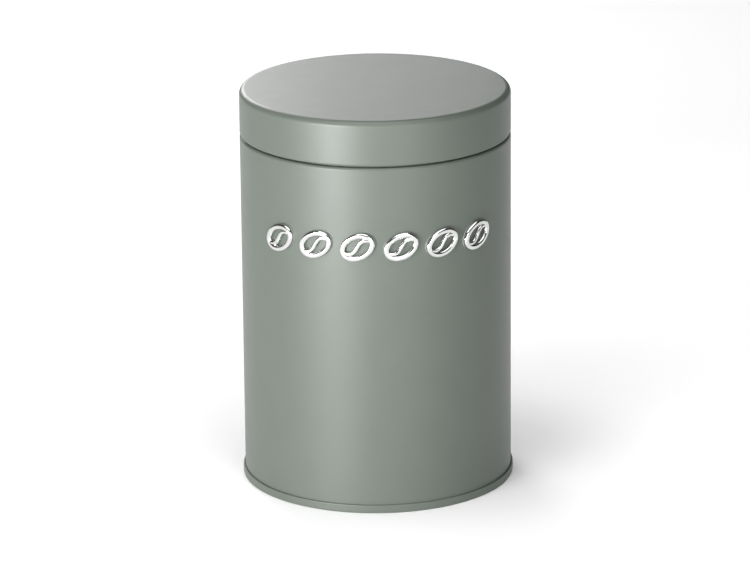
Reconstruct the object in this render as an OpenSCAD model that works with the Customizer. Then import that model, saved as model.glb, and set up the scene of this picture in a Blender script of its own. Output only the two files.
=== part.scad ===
// Round storage tin for coffee: a seamed sheet-metal can with a slip-on lid and six bright bean badges.
// Millimetres, +Z up. The origin is on the tin's axis, in the plane that the base seam stands on.
// The front, which carries the badges, faces -Y. The side seam of the wall is at the back, on +Y.

/* [Tin] */
// Outside diameter of the wall
body_d = 105; // [90:1:130]
// Height over all, from the base seam to the top of the lid
tin_h = 156; // [140:1:220]
// Thickness of the sheet metal
sheet_t = 0.24; // [0.2:0.02:0.28]

/* [Lid] */
// Height of the lid, from the bottom of its skirt to its top
lid_h = 17.5; // [14:0.5:25]
// Outside radius of the lid's top edge
lid_edge_r = 2.2; // [2:0.1:3]
// Outside diameter of the curl at the bottom of the skirt
lid_curl_d = 1.5; // [1.3:0.1:1.8]
// Gap between the lid and the shoulder of the wall
lid_gap = 0.5; // [0.3:0.1:1]

/* [Neck] */
// Clearance between the lid's curl and the neck
neck_clear = 0.25; // [0.15:0.05:0.4]
// Outside diameter of the bead at the top of the neck
neck_bead_d = 1.8; // [1.4:0.1:2.2]
// Height of the neck's band that is welded inside the wall
band_h = 10; // [6:1:14]

/* [Base] */
// Height of the double seam round the base
seam_h = 3.3; // [3.2:0.1:3.8]
// Height of the middle of the base panel above the standing plane
panel_z = 3.5; // [3:0.1:5]
// Height of the stiffening rings pressed into the panel
panel_ring_h = 0.6; // [0.2:0.1:1]

/* [Seal] */
// Thickness of the seal's flange
seal_t = 0.86; // [0.6:0.02:1]
// Depth of the seal's plug inside the neck
plug_h = 6.6; // [4:0.2:9]
// Thickness of the plug
plug_t = 1.4; // [1:0.1:2]

/* [Badges] */
// Height of the row's middle above the standing plane
badge_z = 107; // [40:1:110]
// Angle between neighbouring badges, in degrees round the wall
badge_step = 18; // [17:0.5:24]
// Length of a bean
bean_l = 14.4; // [10:0.2:15]
// Width of a bean
bean_w = 10.6; // [9:0.2:11]
// Lean of a bean's long axis, in degrees
bean_tilt = 25; // [0:5:45]
// Width of the bean's outline
outline_w = 2.3; // [1.6:0.1:2.6]
// Width of the bean's crease
crease_w = 1.7; // [1.2:0.1:2]
// Thickness of a badge
badge_t = 1.5; // [0.8:0.1:2]
// Thickness of the adhesive film behind it
film_t = 0.2; // [0.1:0.05:0.3]

/* [Hidden] */
badge_count = 6;
$fn = 96;

sage = "#8E998E";
bare_tin = "#C3C5C3";
bright_metal = "#D8DADC";
natural_plastic = "#E6E6E0";
film_grey = "#B9B9B6";
compound_grey = "#5A5A58";

half_t = sheet_t / 2;
touch = 0.01;                            // gap left between layers that lie on each other
layer = sheet_t + touch;                 // pitch of folded layers
past = 1;                                // how far a cutting shape runs past what it cuts

body_r = body_d / 2;
wall_mid = body_r - half_t;              // radius of the middle of the wall's sheet
shoulder_z = tin_h - lid_h - lid_gap;    // top of the wall's rounded shoulder
shoulder_r = 1.2;

// Neck: it stands inside the lid's curl, and steps out to a band that lines the wall
neck_r = body_r - lid_curl_d - neck_clear;
neck_mid = neck_r - half_t;
joggle_h = 4;
joggle_drop = 5;                         // how far below the shoulder the step out to the band starts
joggle_top = shoulder_z - joggle_drop;
joggle_z = joggle_top - joggle_h;
band_z = joggle_z - band_h;
curl_turn = 290;                         // how far round the neck's bead and the lid's curl are rolled

// Seal: a flange that hangs under the lid, just above the neck's bead
seal_gap = 0.05;
seal_top = tin_h - sheet_t - seal_gap;
flange_z = seal_top - seal_t;
bead_mid = neck_bead_d / 2 - half_t;     // radius of the bead's roll, at mid sheet
bead_x = neck_mid - bead_mid;
bead_z = flange_z - seal_gap - neck_bead_d / 2;

// The wall's top edge turns in over the shoulder and down beside the neck
hem_x = neck_r + 2 * touch + half_t;
hem_r = body_r - shoulder_r - hem_x;
hem_h = 3;
hem_tip = shoulder_z - hem_h;

// Double seam: five layers of sheet, counted outwards from the base's chuck wall
chuck_x = wall_mid - layer;
cover_hook_x = wall_mid + layer;
body_hook_x = wall_mid + 2 * layer;
seam_x = wall_mid + 3 * layer;
seam_corner_r = 0.38;
seam_fold_z = seam_h - half_t - layer;   // where the cover starts to fold over the wall's hook
body_hook_z = 0.8;
body_hook_tip = 2.5;
cover_hook_tip = 1;

// Base panel: a raised rim inside the chuck wall, then rings at these shares of the wall's radius
rim_r = 1;
panel_dish = 0.3;                        // how much lower the middle of the panel is than the rim's centre
rim_z = panel_z + panel_dish;
rim_turn = 110;
panel_r = chuck_x - 3 * rim_r;
panel_rings = [0.84, 0.68];
ring_half_w = 1.6;
ring_step = ring_half_w / 4;

// Lock seam down the back of the wall, from above the base to below the neck's band
lock_w = 3.5;
lock_t = 0.5;
lock_z0 = 8;
lock_gap = 3;
lock_z1 = band_z - lock_gap;
lock_line_w = 0.3;
lock_line_t = 0.1;

// ---- Sheet profiles: x is the distance from the tin's axis, y is the height ----

// Points on an arc about (x, y), from angle a0 to angle a1
function arc(x, y, r, a0, a1, n = 12) =
    [for (i = [0:n]) let (a = a0 + (a1 - a0) * i / n) [x + r * cos(a), y + r * sin(a)]];

function unit(v) = v / norm(v);
function left_of(v) = [-v[1], v[0]];

// Vector to the left of a path at point i, lengthened at a corner so that the sheet keeps its thickness
function mitre(p, i) = let (
        last = len(p) - 1,
        before = unit(i > 0 ? p[i] - p[i - 1] : p[1] - p[0]),
        after = unit(i < last ? p[i + 1] - p[i] : p[last] - p[last - 1]),
        n = unit(left_of(before) + left_of(after))
    ) n / (n * left_of(after));

// Outline of a strip of thickness t whose middle follows path p
function strip(p, t = sheet_t) = concat(
    [for (i = [0:len(p) - 1]) p[i] + mitre(p, i) * t / 2],
    [for (i = [len(p) - 1:-1:0]) p[i] - mitre(p, i) * t / 2]
);

wall_path = concat(
    [[hem_x, hem_tip]],
    arc(hem_x + hem_r, shoulder_z - hem_r - half_t, hem_r, 180, 90, 6),
    arc(body_r - shoulder_r, shoulder_z - shoulder_r, shoulder_r - half_t, 80, 0, 8),
    arc(wall_mid + layer, body_hook_z, layer, 180, 360, 10),
    [[body_hook_x, body_hook_tip]]
);

// Height of a pressed ring, with its crest at radius mid, above the panel at radius r
function ring_rise(r, mid) = panel_ring_h * (1 + cos(180 * (r - mid) / ring_half_w)) / 2;

base_path = concat(
    [[cover_hook_x, cover_hook_tip]],
    arc(body_hook_x, seam_fold_z, layer, 180, 0, 10),
    arc(seam_x - seam_corner_r, seam_corner_r + half_t, seam_corner_r, 0, -90, 6),
    arc(chuck_x + seam_corner_r, seam_corner_r + half_t, seam_corner_r, -90, -180, 6),
    arc(chuck_x - rim_r, rim_z, rim_r, 0, rim_turn, 10),
    [[panel_r, panel_z]],
    [for (k = panel_rings, s = [ring_half_w:-ring_step:-ring_half_w])
        let (r = k * body_r + s) [r, panel_z + ring_rise(r, k * body_r)]],
    [[0, panel_z]]
);

neck_path = concat(
    [[chuck_x, band_z]],
    [for (s = [0:0.1:1]) [chuck_x + (neck_mid - chuck_x) * (1 - cos(180 * s)) / 2, joggle_z + joggle_h * s]],
    arc(bead_x, bead_z, bead_mid, 0, curl_turn, 20)
);

lid_curl_mid = lid_curl_d / 2 - half_t;
lid_path = concat(
    [[0, tin_h - half_t]],
    arc(body_r - lid_edge_r, tin_h - lid_edge_r, lid_edge_r - half_t, 90, 0, 12),
    arc(wall_mid - lid_curl_mid, tin_h - lid_h + lid_curl_d / 2, lid_curl_mid, 0, -curl_turn, 20)
);

// ---- Sheet metal ----

module turned(path) {
    rotate_extrude() polygon(strip(path));
}

module tube(r0, r1, h) {
    difference() {
        cylinder(r = r1, h = h);
        translate([0, 0, -past]) cylinder(r = r0, h = h + 2 * past);
    }
}

// The part of a tube that lies within w / 2 of the middle of the back
module back_strip(r0, r1, w, z0, z1) {
    translate([0, 0, z0]) intersection() {
        tube(r0, r1, z1 - z0);
        translate([-w / 2, 0, -past]) cube([w, body_d, z1 - z0 + 2 * past]);
    }
}

// Rolled wall with its hemmed shoulder, its hook in the base seam and the lock seam down the back
module body_wall() {
    color(sage) difference() {
        union() {
            turned(wall_path);
            back_strip(body_r - sheet_t - lock_t, wall_mid, lock_w, lock_z0, lock_z1);
        }
        back_strip(body_r - lock_line_t, body_r + past, lock_line_w, seam_h + past, shoulder_z - shoulder_r);
    }
}

// Base pressed from one disc and folded round the wall's hook
module base_end() {
    color(sage) turned(base_path);
}

// Ring of sealing compound in the fold of the base seam, above the wall's hook
module seam_compound() {
    compound_z = body_hook_tip + 2 * touch;
    compound_r = body_hook_x - half_t + 2 * touch;
    color(compound_grey) translate([0, 0, compound_z])
        tube(compound_r, compound_r + sheet_t - 4 * touch, seam_fold_z - 2 * touch - compound_z);
}

// Inner collar that the lid slides on, welded inside the wall by its band
module neck_ring() {
    color(bare_tin) turned(neck_path);
}

// Drawn lid with a round top edge and a curled skirt
module lid_shell() {
    color(sage) turned(lid_path);
}

// ---- Seal ----

// Moulded seal: a flange between the lid and the neck's bead, and a plug with a lip inside the neck
module lid_seal() {
    flange_inset = 0.55;
    flange_edge = 0.15;
    plug_gap = 0.35;
    flange_r = body_r - sheet_t - flange_inset;
    plug_r = bead_x - neck_bead_d / 2 - plug_gap;
    plug_z = flange_z - plug_h;
    lip = 0.2;
    lip_h = 0.6;
    lead = 0.6;
    color(natural_plastic) rotate_extrude() polygon([
        [body_r - lid_edge_r - flange_edge, seal_top],
        [flange_r - flange_edge, flange_z + flange_edge],
        [flange_r, flange_z],
        [plug_r, flange_z],
        [plug_r, plug_z + lead + 2 * lip_h],
        [plug_r + lip, plug_z + lead + lip_h],
        [plug_r, plug_z + lead],
        [plug_r - lead, plug_z],
        [plug_r - plug_t, plug_z],
        [plug_r - plug_t, seal_top]
    ]);
}

// ---- Badges ----

crease_bow_share = 0.13;
film_trim = 0.15;                        // how far the film stops short of the bean's edges

function ellipse(a, b, n = 48) = [for (i = [0:n - 1]) [a * cos(360 * i / n), b * sin(360 * i / n)]];

// Bean seen from the front: an oval outline with an S-shaped crease along it. trim narrows every stroke.
module bean(trim = 0) {
    a = bean_l / 2 - trim;
    b = bean_w / 2 - trim;
    w = outline_w - 2 * trim;
    crease_bow = crease_bow_share * bean_w;
    crease_path = [for (s = [-1:0.1:1]) [(a - w / 2) * s, crease_bow * sin(180 * s)]];
    rotate(bean_tilt) difference() {
        polygon(ellipse(a, b));
        difference() {
            polygon(ellipse(a - w, b - w));
            polygon(strip(crease_path, crease_w - 2 * trim));
        }
    }
}

// Bean i of the row, standing on the wall between radii r0 and r1
module bean_on_wall(i, r0, r1, trim = 0) {
    reach = bean_l / 2 + past;
    rotate(badge_step * (i - (badge_count + 1) / 2)) translate([0, 0, badge_z]) intersection() {
        rotate([90, 0, 0]) linear_extrude(height = body_d) bean(trim);
        translate([0, 0, -reach]) tube(r0, r1, 2 * reach);
    }
}

module bean_badge(i) {
    color(bright_metal) bean_on_wall(i, body_r + film_t, body_r + film_t + badge_t);
}

module adhesive_film(i) {
    color(film_grey) bean_on_wall(i, body_r, body_r + film_t, film_trim);
}

// ---- Nodes ----

body_wall();
base_end();
seam_compound();
neck_ring();
lid_shell();
lid_seal();
for (i = [1:badge_count]) {
    bean_badge(i);
    adhesive_film(i);
}
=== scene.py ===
"""A round coffee tin: satin grey-green enamel outside, bare tinplate inside, six bright bean badges.

The CAD frame gives every size and place. All lengths are in metres, +Z up, and the front faces -Y.
"""

import math

import bmesh
import bpy
import numpy as np
from mathutils import Matrix, Vector


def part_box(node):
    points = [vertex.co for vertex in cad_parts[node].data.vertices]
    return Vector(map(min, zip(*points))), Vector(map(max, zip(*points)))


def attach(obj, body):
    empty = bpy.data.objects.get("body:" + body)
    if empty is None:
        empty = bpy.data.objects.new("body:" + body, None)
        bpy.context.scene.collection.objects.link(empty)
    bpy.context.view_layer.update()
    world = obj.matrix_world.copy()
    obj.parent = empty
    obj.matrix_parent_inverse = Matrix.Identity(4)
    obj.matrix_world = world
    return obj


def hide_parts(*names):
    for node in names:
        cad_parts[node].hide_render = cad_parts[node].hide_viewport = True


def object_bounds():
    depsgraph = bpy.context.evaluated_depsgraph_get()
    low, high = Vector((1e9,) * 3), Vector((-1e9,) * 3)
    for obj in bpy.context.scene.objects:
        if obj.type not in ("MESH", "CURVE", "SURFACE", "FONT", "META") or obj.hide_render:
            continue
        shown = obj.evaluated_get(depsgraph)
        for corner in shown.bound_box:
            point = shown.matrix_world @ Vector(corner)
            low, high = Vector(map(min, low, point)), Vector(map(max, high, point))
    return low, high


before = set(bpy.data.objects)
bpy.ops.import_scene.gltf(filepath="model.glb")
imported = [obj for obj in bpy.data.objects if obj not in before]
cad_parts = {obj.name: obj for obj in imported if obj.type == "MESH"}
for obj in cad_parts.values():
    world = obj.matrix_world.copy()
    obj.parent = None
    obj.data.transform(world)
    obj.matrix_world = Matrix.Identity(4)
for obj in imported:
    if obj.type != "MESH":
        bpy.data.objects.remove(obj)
cad_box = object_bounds()

MM = 0.001
POLE = 1e-7                # a point nearer the axis than this is on it

# ---- Sizes that the frame's boxes give ----

lid_low, lid_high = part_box("lid_shell")
wall_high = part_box("body_wall")[1]
base_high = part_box("base_end")[1]
neck_low, neck_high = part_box("neck_ring")
seal_low, seal_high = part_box("lid_seal")

BODY_R = lid_high.x
TIN_H = lid_high.z
LID_BOTTOM = lid_low.z
SHOULDER_Z = wall_high.z
NECK_TOP = neck_high.z
BAND_Z = neck_low.z

# ---- Sheet metal sizes, as in the CAD source ----

SHEET = 0.24 * MM
HALF = SHEET / 2
LAYER = 0.25 * MM          # pitch of folded layers
WALL_MID = BODY_R - HALF
CURL_TURN = 290            # degrees that the neck's bead and the lid's curl are rolled

LID_EDGE_R = 2.2 * MM
LID_CURL_D = 1.5 * MM
LID_CURL_MID = LID_CURL_D / 2 - HALF
NECK_CLEAR = 0.25 * MM     # between the lid's curl and the neck
NECK_R = BODY_R - LID_CURL_D - NECK_CLEAR
NECK_MID = NECK_R - HALF
BEAD_R = 0.9 * MM
BEAD_MID = BEAD_R - HALF

SHOULDER_R = 1.2 * MM
HEM_GAP = 0.02 * MM        # between the neck and the hem beside it
HEM_X = NECK_R + HEM_GAP + HALF
HEM_R = BODY_R - SHOULDER_R - HEM_X
HEM_DROP = 3 * MM

CHUCK_X = WALL_MID - LAYER
COVER_HOOK_X = WALL_MID + LAYER
BODY_HOOK_X = WALL_MID + 2 * LAYER
SEAM_X = WALL_MID + 3 * LAYER
SEAM_CORNER_R = 0.38 * MM
SEAM_H = 3.3 * MM
SEAM_FOLD_Z = SEAM_H - HALF - LAYER
BODY_HOOK_Z = 0.8 * MM
BODY_HOOK_TIP = 2.5 * MM
COVER_HOOK_TIP = 1 * MM

PANEL_RIM_R = 1 * MM
PANEL_RIM_TURN = 110       # degrees
PANEL_RIM_Z = base_high.z - HALF - PANEL_RIM_R
PANEL_DISH = 0.3 * MM
PANEL_Z = PANEL_RIM_Z - PANEL_DISH
PANEL_R = CHUCK_X - 3 * PANEL_RIM_R
PANEL_RINGS = (0.84, 0.68)
PANEL_RING_H = 0.6 * MM
PANEL_RING_HALF_W = 1.6 * MM

BAND_H = 10 * MM
JOGGLE_Z = BAND_Z + BAND_H
JOGGLE_H = 4 * MM

LOCK_W = 3.5 * MM
LOCK_T = 0.5 * MM
LOCK_Z0 = 8 * MM
LOCK_GAP = 3 * MM          # between the lock seam and the neck's band
LOCK_Z1 = BAND_Z - LOCK_GAP
LOCK_EASE = 0.25 * MM      # width over which the lock seam's edges are rounded
LOCK_LINE_W = 0.3 * MM
LOCK_LINE_T = 0.1 * MM
RIDGE_EDGE = 1.3           # in half widths of the ridge: just outside it
RIDGE_CLEAR = 1.6          # likewise, where the wall's even spacing starts again
BACK = 90                  # degrees from +X to the middle of the back

# ---- Seal sizes, as in the CAD source ----

FLANGE_T = 0.86 * MM
PLUG_GAP = 0.35 * MM       # between the neck's bead and the plug
PLUG_T = 1.4 * MM
PLUG_LEAD = 0.6 * MM       # height of the slope at the plug's foot, and of each side of its lip
PLUG_LIP = 0.2 * MM
FLANGE_EDGE = 0.15 * MM
SEAL_ROUND = 0.25 * MM
ROUND_SHARE = 0.4          # of a side that one rounded corner may take

# ---- Badge sizes, as in the CAD source ----

BADGE_COUNT = 6
BADGE_STEP = 18            # degrees between badges
FILM_T = 0.2 * MM
BADGE_T = 1.5 * MM
BEAN_A = 7.2 * MM
BEAN_B = 5.3 * MM
BEAN_TILT = 25             # degrees
OUTLINE_HALF_W = 1.15 * MM
CREASE_HALF_W = 0.85 * MM
CREASE_BOW_SHARE = 0.13    # how far the crease swings, as a share of the bean's width
CREASE_BOW = CREASE_BOW_SHARE * 2 * BEAN_B
BADGE_SIDE = 0.3 * MM      # upright edge of a badge, below its round top
FACE_FLATNESS = 3          # 2 is a half-round stroke, and more is flatter across its middle
CREASE_DROP = 0.12 * MM    # how much lower the crease is than the outline


# ---- Sheet profiles: pairs of distance from the axis and height ----


def arc(x, z, r, a0, a1, n=14):
    """Points on an arc about (x, z), from angle a0 to angle a1 in degrees."""
    angles = [math.radians(a0 + (a1 - a0) * i / n) for i in range(n + 1)]
    return [(x + r * math.cos(a), z + r * math.sin(a)) for a in angles]


def unit(x, z):
    """The direction (x, z) with length 1."""
    size = math.hypot(x, z)
    return x / size, z / size


def mitre(path, i):
    """Vector to the left of a path at point i, longer at a corner, so that the sheet keeps its thickness."""
    a = path[max(i - 1, 0)]
    b = path[i]
    c = path[min(i + 1, len(path) - 1)]
    before = unit(b[0] - a[0], b[1] - a[1]) if i > 0 else unit(c[0] - b[0], c[1] - b[1])
    after = unit(c[0] - b[0], c[1] - b[1]) if i < len(path) - 1 else before
    nx, nz = unit(-before[1] - after[1], before[0] + after[0])
    share = nx * -after[1] + nz * after[0]
    return nx / share, nz / share


def supported(path, gap=0.25 * MM):
    """The path with an extra point near both ends of every long straight, which keeps shading level."""
    made = [path[0]]
    for p, q in zip(path, path[1:]):
        length = math.hypot(q[0] - p[0], q[1] - p[1])
        if length > 6 * gap:
            for share in (gap / length, 1 - gap / length):
                made.append((p[0] + (q[0] - p[0]) * share, p[1] + (q[1] - p[1]) * share))
        made.append(q)
    return made


def strip(path):
    """Outline of the sheet whose middle follows a path: (x, z, side), with 0 on the left and 1 elsewhere."""
    path = supported(path)
    last = len(path) - 1
    shifts = [mitre(path, i) for i in range(len(path))]
    left = [(p[0] + s[0] * HALF, p[1] + s[1] * HALF) for p, s in zip(path, shifts)]
    right = [(p[0] - s[0] * HALF, p[1] - s[1] * HALF) for p, s in zip(path, shifts)]
    left_side = [(x, z, 0 if i < last else 1) for i, (x, z) in enumerate(left)]
    right_side = [(x, z, 1) for x, z in reversed(right)]
    return left_side + right_side


def lid_path():
    """Middle of the lid's sheet, from the centre of its top to the end of its curl."""
    return [
        (0, TIN_H - HALF),
        *arc(BODY_R - LID_EDGE_R, TIN_H - LID_EDGE_R, LID_EDGE_R - HALF, 90, 0),
        *arc(WALL_MID - LID_CURL_MID, LID_BOTTOM + LID_CURL_MID + HALF, LID_CURL_MID, 0, -CURL_TURN, 28),
    ]


def wall_path():
    """Middle of the wall's sheet, from its hem inside the shoulder to its hook in the base seam."""
    shoulder_mid = SHOULDER_R - HALF
    return [
        (HEM_X, SHOULDER_Z - HEM_DROP),
        *arc(HEM_X + HEM_R, SHOULDER_Z - HEM_R - HALF, HEM_R, 180, 90, 8),
        *arc(BODY_R - SHOULDER_R, SHOULDER_Z - SHOULDER_R, shoulder_mid, 80, 0, 12),
        (WALL_MID, LOCK_Z1),
        (WALL_MID, LOCK_Z1 - LOCK_EASE),
        (WALL_MID, LOCK_Z0 + LOCK_EASE),
        (WALL_MID, LOCK_Z0),
        *arc(COVER_HOOK_X, BODY_HOOK_Z, LAYER, 180, 360, 10),
        (BODY_HOOK_X, BODY_HOOK_TIP),
    ]


def pressed_ring(share, n=16):
    """Points across one stiffening ring of the base panel, from its outside in."""
    mid = share * BODY_R
    offsets = [PANEL_RING_HALF_W * (1 - 2 * i / n) for i in range(n + 1)]
    rise = [(1 + math.cos(math.pi * s / PANEL_RING_HALF_W)) / 2 for s in offsets]
    return [(mid + s, PANEL_Z + PANEL_RING_H * k) for s, k in zip(offsets, rise)]


def base_path():
    """Middle of the base's sheet, from its hook in the seam to the centre of its panel."""
    return [
        (COVER_HOOK_X, COVER_HOOK_TIP),
        *arc(BODY_HOOK_X, SEAM_FOLD_Z, LAYER, 180, 0),
        *arc(SEAM_X - SEAM_CORNER_R, SEAM_CORNER_R + HALF, SEAM_CORNER_R, 0, -90, 8),
        *arc(CHUCK_X + SEAM_CORNER_R, SEAM_CORNER_R + HALF, SEAM_CORNER_R, -90, -180, 8),
        *arc(CHUCK_X - PANEL_RIM_R, PANEL_RIM_Z, PANEL_RIM_R, 0, PANEL_RIM_TURN, 16),
        (PANEL_R, PANEL_Z),
        *[point for share in PANEL_RINGS for point in pressed_ring(share)],
        (0, PANEL_Z),
    ]


def neck_path():
    """Middle of the neck's sheet, from the bottom of its band to the end of its bead."""
    joggle = [(1 - math.cos(math.pi * i / 16)) / 2 for i in range(17)]
    return [
        (CHUCK_X, BAND_Z),
        *[(CHUCK_X + (NECK_MID - CHUCK_X) * s, JOGGLE_Z + JOGGLE_H * i / 16) for i, s in enumerate(joggle)],
        *arc(NECK_MID - BEAD_MID, NECK_TOP - BEAD_R, BEAD_MID, 0, CURL_TURN, 28),
    ]


def neck_outline():
    """The neck's sheet, painted on its outside up to the bead and bare elsewhere."""
    paint_top = NECK_TOP - BEAD_R - HALF
    return [(x, z, 0 if side and x > NECK_MID and z < paint_top else 1) for x, z, side in strip(neck_path())]


# ---- Turned meshes ----


def even_angles(n=256):
    """Angles round the axis, in degrees."""
    return [360 * i / n for i in range(n)]


def wall_angles():
    """Even angles, with closer ones where the lock seam runs down the back."""
    per_metre = math.degrees(1 / BODY_R)
    half = LOCK_W / 2
    line = LOCK_LINE_W / 2
    on_line = [0, line / 3, line * 2 / 3, line, 2 * line]
    on_edge = [half - LOCK_EASE, half - LOCK_EASE / 2, half, RIDGE_EDGE * half]
    near = sorted({sign * s * per_metre for s in on_line + on_edge for sign in (-1, 1)})
    clear = RIDGE_CLEAR * half * per_metre
    even = [a for a in even_angles() if abs(a - BACK) > clear]
    return sorted(even + [BACK + s for s in near])


def ease(x):
    """Smooth rise from 0 to 1 as x goes from 0 to 1."""
    x = min(max(x, 0.0), 1.0)
    return x * x * (3 - 2 * x)


def lock_seam(x, z, angle):
    """Distance from the axis of a wall point, with the lock seam's ridge inside and its fine line outside."""
    off = abs(math.radians(angle - BACK)) * BODY_R
    if off > LOCK_W or not SEAM_H < z < SHOULDER_Z - SHOULDER_R / 2:
        return x
    if x > WALL_MID:
        top = ease((SHOULDER_Z - SHOULDER_R - z) / SHOULDER_R + 1)
        return x - LOCK_LINE_T * top * ease(1 - off / LOCK_LINE_W * 2)
    across = ease((LOCK_W / 2 - off) / LOCK_EASE)
    along = ease((z - LOCK_Z0) / LOCK_EASE) * ease((LOCK_Z1 - z) / LOCK_EASE)
    return x - LOCK_T * across * along


def add_object(name, mesh, materials):
    """A new object in the scene with these materials."""
    obj = bpy.data.objects.new(name, mesh)
    bpy.context.scene.collection.objects.link(obj)
    for material in materials:
        mesh.materials.append(material)
    return obj


def finish_mesh(mesh, sharp=35):
    """Smooth shading, with edges sharper than an angle kept crisp, and all faces turned outwards."""
    work = bmesh.new()
    work.from_mesh(mesh)
    bmesh.ops.recalc_face_normals(work, faces=work.faces)
    for face in work.faces:
        face.smooth = True
    for edge in work.edges:
        edge.smooth = edge.calc_face_angle(0) < math.radians(sharp)
    work.to_mesh(mesh)
    work.free()


def lathe(name, outline, materials, angles=None, shape=None):
    """The closed outline, (x, z, material) for each point and the edge after it, turned about the Z axis."""
    angles = angles or even_angles()
    turns = [(a, math.cos(math.radians(a)), math.sin(math.radians(a))) for a in angles]
    points = []
    rings = []
    for x, z, _ in outline:
        first = len(points)
        if x < POLE:
            points.append((0, 0, z))
        else:
            for a, c, s in turns:
                r = shape(x, z, a) if shape else x
                points.append((r * c, r * s, z))
        rings.append(range(first, len(points)))
    faces = []
    slots = []
    for i, (_, _, material) in enumerate(outline):
        a = rings[i]
        b = rings[(i + 1) % len(rings)]
        if len(a) == 1 and len(b) == 1:
            continue
        for j in range(len(turns)):
            k = (j + 1) % len(turns)
            if len(a) == 1:
                faces.append((a[0], b[k], b[j]))
            elif len(b) == 1:
                faces.append((a[j], a[k], b[0]))
            else:
                faces.append((a[j], a[k], b[k], b[j]))
            slots.append(material)
    mesh = bpy.data.meshes.new(name)
    mesh.from_pydata(points, [], faces)
    mesh.polygons.foreach_set("material_index", slots)
    finish_mesh(mesh)
    return add_object(name, mesh, materials)


def install(obj, body, slot, *nodes):
    """The piece rides on a body and stands for CAD nodes, which are hidden. The slot is not used."""
    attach(obj, body)
    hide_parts(*nodes)


# ---- Seal profile ----


def rounded(points, radius, n=5):
    """A closed outline with its corners rounded, as far as the sides next to them allow."""
    made = []
    for i, p in enumerate(points):
        a = Vector(points[i - 1])
        b = Vector(p)
        c = Vector(points[(i + 1) % len(points)])
        cut = min(radius, ROUND_SHARE * (a - b).length, ROUND_SHARE * (c - b).length)
        start = b + (a - b).normalized() * cut
        end = b + (c - b).normalized() * cut
        for k in range(n + 1):
            t = k / n
            made.append(tuple((1 - t) ** 2 * start + 2 * t * (1 - t) * b + t * t * end))
    return made


def seal_outline():
    """Cross-section of the moulded seal: a flange, and a plug with a lip near its foot."""
    top = seal_high.z
    foot = seal_low.z
    flange_r = seal_high.x
    flange_z = top - FLANGE_T
    plug_r = NECK_MID - BEAD_MID - BEAD_R - PLUG_GAP
    plug_in = plug_r - PLUG_T
    corners = [
        (BODY_R - LID_EDGE_R - FLANGE_EDGE, top),
        (flange_r - FLANGE_EDGE, flange_z + FLANGE_EDGE),
        (flange_r, flange_z),
        (plug_r, flange_z),
        (plug_r, foot + 3 * PLUG_LEAD),
        (plug_r + PLUG_LIP, foot + 2 * PLUG_LEAD),
        (plug_r, foot + PLUG_LEAD),
        (plug_r - PLUG_LEAD, foot),
        (plug_in, foot),
        (plug_in, top),
    ]
    return [(x, z, 0) for x, z in rounded(corners, SEAL_ROUND)]


# ---- Bean badges ----


def outline_line(n=200):
    """Points along the middle of the bean's oval outline."""
    turn = np.linspace(0, 2 * math.pi, n + 1)[:-1]
    return np.stack([(BEAN_A - OUTLINE_HALF_W) * np.cos(turn), (BEAN_B - OUTLINE_HALF_W) * np.sin(turn)], 1)


def crease_line(n=80):
    """Points along the middle of the bean's S-shaped crease."""
    s = np.linspace(-1, 1, n + 1)
    return np.stack([(BEAN_A - OUTLINE_HALF_W) * s, CREASE_BOW * np.sin(math.pi * s)], 1)


def stroke_profile(half_w, top, n=12):
    """Across and up pairs round a stroke: a flat back, upright sides and a flattened round top."""
    turns = np.linspace(0, math.pi, 2 * n + 1)
    across = -np.sign(np.cos(turns)) * np.abs(np.cos(turns)) ** (2 / FACE_FLATNESS) * half_w
    up = BADGE_SIDE + (top - BADGE_SIDE) * np.sin(turns)
    return [(-half_w, 0), *zip(across, up), (half_w, 0)]


def stroke(name, line, half_w, top, closed):
    """A closed solid with the stroke's profile along a line."""
    ahead = np.roll(line, -1, 0) - np.roll(line, 1, 0)
    if not closed:
        ahead[0] = line[1] - line[0]
        ahead[-1] = line[-1] - line[-2]
    side = np.stack([-ahead[:, 1], ahead[:, 0]], 1) / np.linalg.norm(ahead, axis=1)[:, None]
    profile = stroke_profile(half_w, top)
    points = np.concatenate([np.column_stack([line + side * c, np.full(len(line), z)]) for c, z in profile])
    n = len(line)
    m = len(profile)
    faces = []
    for i in range(n if closed else n - 1):
        k = (i + 1) % n
        for c in range(m):
            d = (c + 1) % m
            faces.append((c * n + i, c * n + k, d * n + k, d * n + i))
    if not closed:
        faces.append([c * n for c in range(m)])
        faces.append([c * n + n - 1 for c in reversed(range(m))])
    mesh = bpy.data.meshes.new(name)
    mesh.from_pydata(points.tolist(), [], faces)
    finish_mesh(mesh)
    return add_object(name, mesh, [])


def bean_master():
    """Points and faces of one flat bean, with its back on z = 0."""
    outline = stroke("outline", outline_line(), OUTLINE_HALF_W, BADGE_T, True)
    crease = stroke("crease", crease_line(), CREASE_HALF_W, BADGE_T - CREASE_DROP, False)
    union = outline.modifiers.new("union", "BOOLEAN")
    union.operation = "UNION"
    union.solver = "EXACT"
    union.object = crease
    bpy.context.view_layer.update()
    made = bpy.data.meshes.new_from_object(outline.evaluated_get(bpy.context.evaluated_depsgraph_get()))
    points = np.array([v.co for v in made.vertices])
    faces = [tuple(p.vertices) for p in made.polygons]
    for obj in (outline, crease):
        mesh = obj.data
        bpy.data.objects.remove(obj)
        bpy.data.meshes.remove(mesh)
    bpy.data.meshes.remove(made)
    return points, faces


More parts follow.
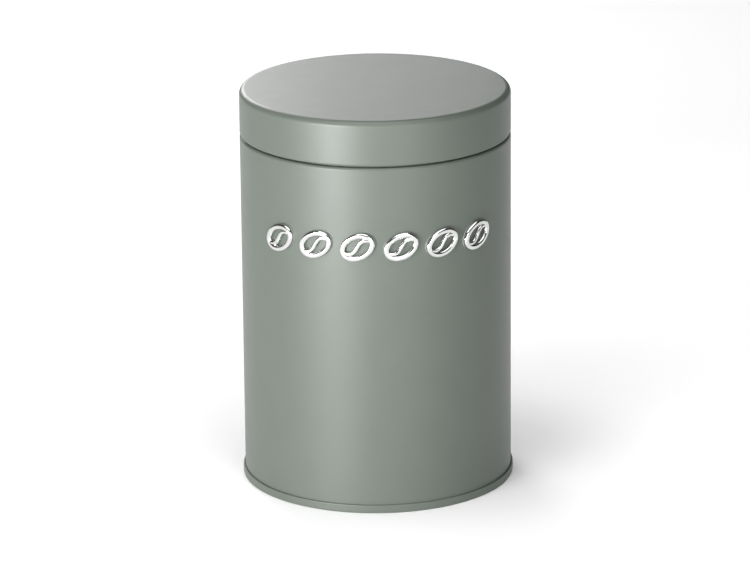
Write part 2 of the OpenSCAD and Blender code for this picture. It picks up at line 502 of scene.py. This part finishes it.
def on_wall(points, turn):
    """Flat badge points wrapped onto the adhesive film, turned to a place in the row."""
    tilt = math.radians(BEAN_TILT)
    x = points[:, 0] * math.cos(tilt) - points[:, 1] * math.sin(tilt)
    y = points[:, 0] * math.sin(tilt) + points[:, 1] * math.cos(tilt)
    r = BODY_R + FILM_T + points[:, 2]
    angle = np.arcsin(x / (BODY_R + FILM_T + BADGE_T)) + math.radians(turn)
    low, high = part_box("bean_badge_1")
    return np.column_stack([r * np.sin(angle), -r * np.cos(angle), (low.z + high.z) / 2 + y])


def make_badges(chrome):
    """Six bean badges in a row round the front."""
    points, faces = bean_master()
    for i in range(1, BADGE_COUNT + 1):
        turn = BADGE_STEP * (i - (BADGE_COUNT + 1) / 2)
        mesh = bpy.data.meshes.new(f"bean_{i}")
        mesh.from_pydata(on_wall(points, turn).tolist(), [], faces)
        finish_mesh(mesh, 25)
        badge = add_object(f"bean_{i}", mesh, [chrome])
        install(badge, "tin", "bright_chrome", f"bean_badge_{i}")


# ---- Materials ----


class Shader:
    """A material's nodes, with short ways to add and join them."""

    def __init__(self, name):
        self.material = bpy.data.materials.new(name)
        self.material.use_nodes = True
        self.tree = self.material.node_tree
        self.surface = self.tree.nodes["Principled BSDF"]

    def node(self, kind, inputs=None, **settings):
        """A new node with these settings and input values."""
        made = self.tree.nodes.new(kind)
        for name, value in settings.items():
            setattr(made, name, value)
        for name, value in (inputs or {}).items():
            made.inputs[name].default_value = value
        return made

    def link(self, output, target):
        """Joins an output to an input."""
        self.tree.links.new(output, target)

    def place(self, scale=(1, 1, 1)):
        """Object coordinates, stretched."""
        coordinates = self.node("ShaderNodeTexCoord")
        mapping = self.node("ShaderNodeMapping", {"Scale": scale})
        self.link(coordinates.outputs["Object"], mapping.inputs["Vector"])
        return mapping.outputs["Vector"]

    def noise(self, scale, detail=3, stretch=(1, 1, 1), roughness=0.5):
        """Noise of about this many features to the metre."""
        texture = self.node("ShaderNodeTexNoise", {"Scale": scale, "Detail": detail, "Roughness": roughness})
        self.link(self.place(stretch), texture.inputs["Vector"])
        return texture.outputs["Fac"]

    def ranged(self, value, low, high, low_in=0.3, high_in=0.7):
        """A value spread over a range."""
        inputs = {"From Min": low_in, "From Max": high_in, "To Min": low, "To Max": high}
        spread = self.node("ShaderNodeMapRange", inputs)
        self.link(value, spread.inputs["Value"])
        return spread.outputs["Result"]

    def mixed(self, value, first, second):
        """A colour between two, by a value from 0 to 1."""
        mix = self.node("ShaderNodeMix", data_type="RGBA")
        mix.inputs["A"].default_value = (*first, 1)
        mix.inputs["B"].default_value = (*second, 1)
        self.link(value, mix.inputs["Factor"])
        return mix.outputs["Result"]

    def bump(self, value, height, strength=1.0, under=None):
        """A bump whose full swing is height metres."""
        bump = self.node("ShaderNodeBump", {"Strength": strength, "Distance": height})
        self.link(value, bump.inputs["Height"])
        if under:
            self.link(under, bump.inputs["Normal"])
        return bump.outputs["Normal"]

    def set(self, **values):
        """Constants on the surface's own sockets, with _ for a space in a name."""
        for name, value in values.items():
            self.surface.inputs[name.replace("_", " ")].default_value = value


def sage_paint():
    """Satin grey-green enamel with faint mottling, a fine orange peel and a slightly uneven gloss."""
    s = Shader("sage_paint")
    s.set(IOR=1.5)
    tone = s.ranged(s.noise(90, 4), 0, 1)
    s.link(s.mixed(tone, (0.083, 0.098, 0.083), (0.087, 0.102, 0.086)), s.surface.inputs["Base Color"])
    s.link(s.ranged(s.noise(150, 3), 0.41, 0.43), s.surface.inputs["Roughness"])
    peel = s.bump(s.noise(900, 2), 0.012 * MM)
    s.link(s.bump(s.noise(4500, 1), 0.002 * MM, 1.0, peel), s.surface.inputs["Normal"])
    return s.material


def bare_tinplate():
    """Bright tinplate with faint lines from rolling and soft mottling."""
    s = Shader("bare_tinplate")
    s.set(Metallic=1.0)
    tone = s.ranged(s.noise(45, 4), 0, 1)
    s.link(s.mixed(tone, (0.68, 0.685, 0.68), (0.76, 0.765, 0.76)), s.surface.inputs["Base Color"])
    lines = s.noise(40, 5, (1, 1, 60), 0.7)
    s.link(s.ranged(lines, 0.28, 0.42), s.surface.inputs["Roughness"])
    s.link(s.bump(lines, 0.004 * MM), s.surface.inputs["Normal"])
    return s.material


def bright_chrome():
    """Polished chrome plate, barely uneven."""
    s = Shader("bright_chrome")
    s.set(Metallic=1.0)
    tone = s.ranged(s.noise(300, 3), 0, 1)
    s.link(s.mixed(tone, (0.66, 0.665, 0.655), (0.70, 0.705, 0.695)), s.surface.inputs["Base Color"])
    s.link(s.ranged(s.noise(500, 3), 0.10, 0.14), s.surface.inputs["Roughness"])
    s.link(s.bump(s.noise(700, 2), 0.004 * MM), s.surface.inputs["Normal"])
    return s.material


def seal_plastic():
    """Natural polyethylene: milky, waxy and slightly see-through, with a moulded grain."""
    s = Shader("seal_plastic")
    s.set(IOR=1.51, Subsurface_Weight=0.35, Subsurface_Scale=1.5 * MM)
    s.surface.inputs["Subsurface Radius"].default_value = (1.0, 0.95, 0.85)
    tone = s.ranged(s.noise(120, 3), 0, 1)
    s.link(s.mixed(tone, (0.74, 0.74, 0.70), (0.80, 0.80, 0.765)), s.surface.inputs["Base Color"])
    s.link(s.ranged(s.noise(400, 3), 0.38, 0.5), s.surface.inputs["Roughness"])
    s.link(s.bump(s.noise(2500, 2), 0.006 * MM), s.surface.inputs["Normal"])
    return s.material


def soft_grey(name, first, second, grain):
    """Dull rubbery material for the hidden film and compound."""
    s = Shader(name)
    s.link(s.mixed(s.ranged(s.noise(grain, 3), 0, 1), first, second), s.surface.inputs["Base Color"])
    s.link(s.ranged(s.noise(grain * 2, 2), 0.55, 0.75), s.surface.inputs["Roughness"])
    s.link(s.bump(s.noise(grain * 4, 2), 0.01 * MM), s.surface.inputs["Normal"])
    return s.material


def painted_shadow_floor():
    """Matt white paper with painted glow: emission that is none near the tin and grows farther off, painting
    a shadow round the tin.
    """
    s = Shader("painted_shadow_floor")
    s.link(s.mixed(s.noise(3, 2), (0.91, 0.91, 0.91), (0.93, 0.93, 0.93)), s.surface.inputs["Base Color"])
    s.set(Roughness=0.9, Specular_IOR_Level=0.2)
    s.surface.inputs["Emission Color"].default_value = (1, 1, 1, 1)
    # Painted light: the emission grows with distance from a point beside the tin, so the floor there stays
    # dim as a painted shadow.
    geometry = s.node("ShaderNodeNewGeometry")
    far = s.node("ShaderNodeVectorMath", {1: PAINTED_SHADOW_CENTRE}, operation="DISTANCE")
    s.link(geometry.outputs["Position"], far.inputs[0])
    painted_glow = s.node("ShaderNodeMath", operation="ADD")
    for i, (light, start, end) in enumerate((PAINTED_GLOW_NEAR, PAINTED_GLOW_FAR)):
        s.link(s.ranged(far.outputs["Value"], 0, light, start, end), painted_glow.inputs[i])
    s.link(painted_glow.outputs["Value"], s.surface.inputs["Emission Strength"])
    return s.material


# ---- Pieces ----


def make_tin():
    """The sheet-metal parts: wall, base, neck and lid."""
    paint = sage_paint()
    tinplate = bare_tinplate()
    wall = lathe("wall_sheet", strip(wall_path()), [paint, tinplate], wall_angles(), lock_seam)
    install(wall, "tin", "sage_paint", "body_wall")
    base = lathe("base_sheet", strip(base_path()), [paint, tinplate])
    install(base, "tin", "sage_paint", "base_end")
    neck = lathe("neck_sheet", neck_outline(), [paint, tinplate])
    install(neck, "tin", "bare_tinplate", "neck_ring")
    lid = lathe("lid_sheet", strip(lid_path()), [paint, tinplate])
    install(lid, "lid", "sage_paint", "lid_shell")


def make_seal():
    """The plastic ring under the lid."""
    seal = lathe("seal_ring", seal_outline(), [seal_plastic()])
    install(seal, "seal", "seal_plastic", "lid_seal")


def dress_hidden_nodes():
    """Materials of the CAD nodes that stay: the adhesive films and the sealing compound."""
    film = soft_grey("adhesive", (0.45, 0.45, 0.44), (0.52, 0.52, 0.51), 400)
    compound = soft_grey("sealing_compound", (0.09, 0.09, 0.088), (0.12, 0.12, 0.118), 900)
    for name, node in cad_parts.items():
        if name.startswith("adhesive_film_"):
            node.data.materials.clear()
            node.data.materials.append(film)
    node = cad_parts["seam_compound"]
    node.data.materials.clear()
    node.data.materials.append(compound)


# ---- Stage, lights and camera ----

EYE_DISTANCE = 32          # this and the next three are in body radii
EYE_HEIGHT = 11.503
AIM_HEIGHT = 1.47
AIM_SIDE = -0.012
EYE_TURN = -1.2            # degrees round the tin, towards its left
EYE_ROLL = -0.524
LENS = 216
SENSOR = 36
FLOOR_SIZE = 8

WORLD_LIGHT = 0.06
PAINTED_SHADOW_CENTRE = (0.03, 0.015, 0)             # middle of the floor's painted shadow, where no glow is painted
PAINTED_GLOW_NEAR = (0.12, 0.045, 0.09)          # painted glow added, and the distances between which it comes in
PAINTED_GLOW_FAR = (0.8, 0.15, 2.4)
BACKDROP_R = 3.9
BACKDROP_H = 4
BACKDROP_LIGHT = 0.8       # as bright as the floor at its far edge
# name: degrees round from the front (positive to the right), distance, lowest edge, highest edge,
# width, radiance
PANELS = {
    "key": (-36, 1.0, 0.01, 0.20, 0.70, 27),
    "key_core": (-35, 1.0, 0.01, 0.14, 0.22, 44),
    "key_high": (-35, 0.9, 1.00, 1.50, 0.60, 3),
    "right_low": (20, 1.0, 0.02, 0.50, 0.40, 6.2),
    "back_near": (-170, 0.45, 0.20, 0.50, 0.35, 1.8),
    "back_left_low": (-165, 1.0, 0.36, 0.55, 0.40, 8),
    "back_left": (-160, 1.0, 0.50, 1.00, 0.40, 4.5),
}
TOP_LIGHT = (0, 0.3, 1.4, 1.2, 3.1)      # degrees, distance, height, width, radiance


def around(degrees, distance, height):
    """A point at this angle from the front, seen from above."""
    a = math.radians(degrees)
    return Vector((distance * math.sin(a), -distance * math.cos(a), height))


def aim(obj, target):
    """Turns a light or camera towards a point."""
    obj.rotation_euler = (target - obj.location).to_track_quat("-Z", "Y").to_euler()


def area_light(name, width, tall, radiance, place, target):
    """A plain soft box, aimed at a point."""
    light = bpy.data.lights.new(name, "AREA")
    light.shape = "RECTANGLE"
    light.size = width
    light.size_y = tall
    light.energy = radiance * math.pi * width * tall
    obj = bpy.data.objects.new(name, light)
    bpy.context.scene.collection.objects.link(obj)
    obj.location = place
    aim(obj, target)


def make_lights():
    """Upright panels round the tin, one light above it, and a dim even world."""
    for name, (degrees, distance, low, high, width, radiance) in PANELS.items():
        z = (low + high) / 2
        area_light(name, width, high - low, radiance, around(degrees, distance, z), Vector((0, 0, z)))
    degrees, distance, height, width, radiance = TOP_LIGHT
    area_light("top", width, width, radiance, around(degrees, distance, height), Vector((0, 0, TIN_H / 2)))
    world = bpy.data.worlds.new("studio")
    world.use_nodes = True
    background = world.node_tree.nodes["Background"]
    background.inputs["Color"].default_value = (1, 1, 1, 1)
    background.inputs["Strength"].default_value = WORLD_LIGHT
    bpy.context.scene.world = world


def make_floor():
    """A white floor under the tin."""
    mesh = bpy.data.meshes.new("floor")
    half = FLOOR_SIZE / 2
    z = cad_box[0].z
    corners = [(-half, -half, z), (half, -half, z), (half, half, z), (-half, half, z)]
    mesh.from_pydata(corners, [], [(0, 1, 2, 3)])
    add_object("floor", mesh, [painted_shadow_floor()])


def make_backdrop():
    """A pale round wall far behind the panels. Only the camera sees it: it neither lights nor reflects."""
    s = Shader("backdrop")
    s.set(Roughness=1.0, Specular_IOR_Level=0.0, Emission_Strength=BACKDROP_LIGHT)
    s.surface.inputs["Base Color"].default_value = (0, 0, 0, 1)
    s.surface.inputs["Emission Color"].default_value = (1, 1, 1, 1)
    turns = [math.radians(a) for a in even_angles(128)]
    ring = [(BACKDROP_R * math.cos(a), BACKDROP_R * math.sin(a)) for a in turns]
    points = [(x, y, z) for z in (cad_box[0].z, BACKDROP_H) for x, y in ring]
    count = len(ring)
    faces = [(i, (i + 1) % count, (i + 1) % count + count, i + count) for i in range(count)]
    mesh = bpy.data.meshes.new("backdrop")
    mesh.from_pydata(points, [], faces)
    wall = add_object("backdrop", mesh, [s.material])
    wall.visible_diffuse = False
    wall.visible_glossy = False
    wall.visible_transmission = False
    wall.visible_shadow = False


def make_camera():
    """A long lens from in front and above."""
    camera = bpy.data.cameras.new("camera")
    camera.sensor_width = SENSOR
    camera.lens = LENS
    camera.clip_start = 0.05
    camera.clip_end = 20
    obj = bpy.data.objects.new("camera", camera)
    bpy.context.scene.collection.objects.link(obj)
    obj.location = around(EYE_TURN, EYE_DISTANCE * BODY_R, EYE_HEIGHT * BODY_R)
    aim(obj, Vector((AIM_SIDE * BODY_R, 0, AIM_HEIGHT * BODY_R)))
    bpy.context.view_layer.update()
    obj.matrix_world = obj.matrix_world @ Matrix.Rotation(math.radians(EYE_ROLL), 4, "Z")
    bpy.context.scene.camera = obj


bpy.context.scene.view_settings.view_transform = "Standard"
make_camera()
make_lights()
make_floor()
make_backdrop()
make_tin()
make_seal()
chrome_plate = bright_chrome()
make_badges(chrome_plate)
dress_hidden_nodes()
